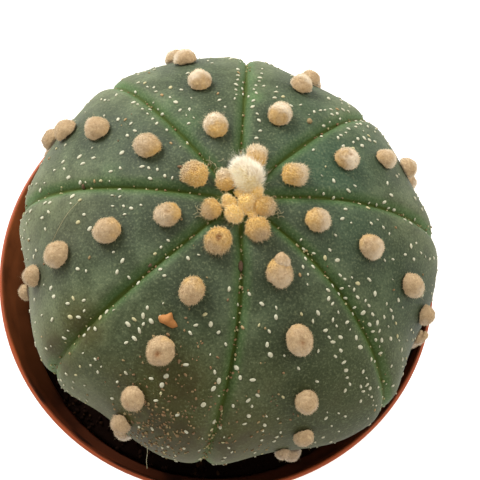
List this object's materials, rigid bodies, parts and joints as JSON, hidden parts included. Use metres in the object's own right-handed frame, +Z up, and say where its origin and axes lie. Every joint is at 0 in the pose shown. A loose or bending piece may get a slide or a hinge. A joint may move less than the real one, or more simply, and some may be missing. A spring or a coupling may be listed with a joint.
{
  "type": "potted star cactus",
  "caption": "Spineless ribbed star cactus with woolly areoles and white flecks, growing in a round terracotta-coloured plastic pot.",
  "frame": {"origin": "centre of the circle that the pot's foot ring stands on, on the supporting surface", "axes": "+Z up along the pot's axis; -Y is the side nearest the viewer of the reference view, +X to its right"},
  "size_m": [0.065, 0.065, 0.089],
  "materials": {
    "pot_plastic": "satin",
    "potting_mix": "matte",
    "cactus_skin": "matte",
    "areole_felt": "matte",
    "golden_wool": "matte",
    "white_wool": "matte"
  },
  "bodies": {
    "root": {"pot": "pot_plastic", "soil": "potting_mix", "stem": "cactus_skin", "crown_wool": "golden_wool", "bud_tuft": "white_wool", "areole_rib1_1": "areole_felt", "areole_rib1_2": "areole_felt", "areole_rib1_3": "areole_felt", "areole_rib1_4": "areole_felt", "areole_rib1_5": "areole_felt", "areole_rib1_6": "areole_felt", "areole_rib1_7": "areole_felt", "areole_rib2_1": "areole_felt", "areole_rib2_2": "areole_felt", "areole_rib2_3": "areole_felt", "areole_rib2_4": "areole_felt", "areole_rib2_5": "areole_felt", "areole_rib2_6": "areole_felt", "areole_rib2_7": "areole_felt", "areole_rib3_1": "areole_felt", "areole_rib3_2": "areole_felt", "areole_rib3_3": "areole_felt", "areole_rib3_4": "areole_felt", "areole_rib3_5": "areole_felt", "areole_rib3_6": "areole_felt", "areole_rib4_1": "areole_felt", "areole_rib4_2": "areole_felt", "areole_rib4_3": "areole_felt", "areole_rib4_4": "areole_felt", "areole_rib4_5": "areole_felt", "areole_rib4_6": "areole_felt", "areole_rib4_7": "areole_felt", "areole_rib5_1": "areole_felt", "areole_rib5_2": "areole_felt", "areole_rib5_3": "areole_felt", "areole_rib5_4": "areole_felt", "areole_rib5_5": "areole_felt", "areole_rib5_6": "areole_felt", "areole_rib5_7": "areole_felt", "areole_rib6_1": "areole_felt", "areole_rib6_2": "areole_felt", "areole_rib6_3": "areole_felt", "areole_rib6_4": "areole_felt", "areole_rib6_5": "areole_felt", "areole_rib6_6": "areole_felt", "areole_rib6_7": "areole_felt", "areole_rib7_1": "areole_felt", "areole_rib7_2": "areole_felt", "areole_rib7_3": "areole_felt", "areole_rib7_4": "areole_felt", "areole_rib7_5": "areole_felt", "areole_rib7_6": "areole_felt", "areole_rib7_7": "areole_felt", "areole_rib8_1": "areole_felt", "areole_rib8_2": "areole_felt", "areole_rib8_3": "areole_felt", "areole_rib8_4": "areole_felt", "areole_rib8_5": "areole_felt", "areole_rib8_6": "areole_felt", "areole_rib8_7": "areole_felt"}
  },
  "joints": []
}
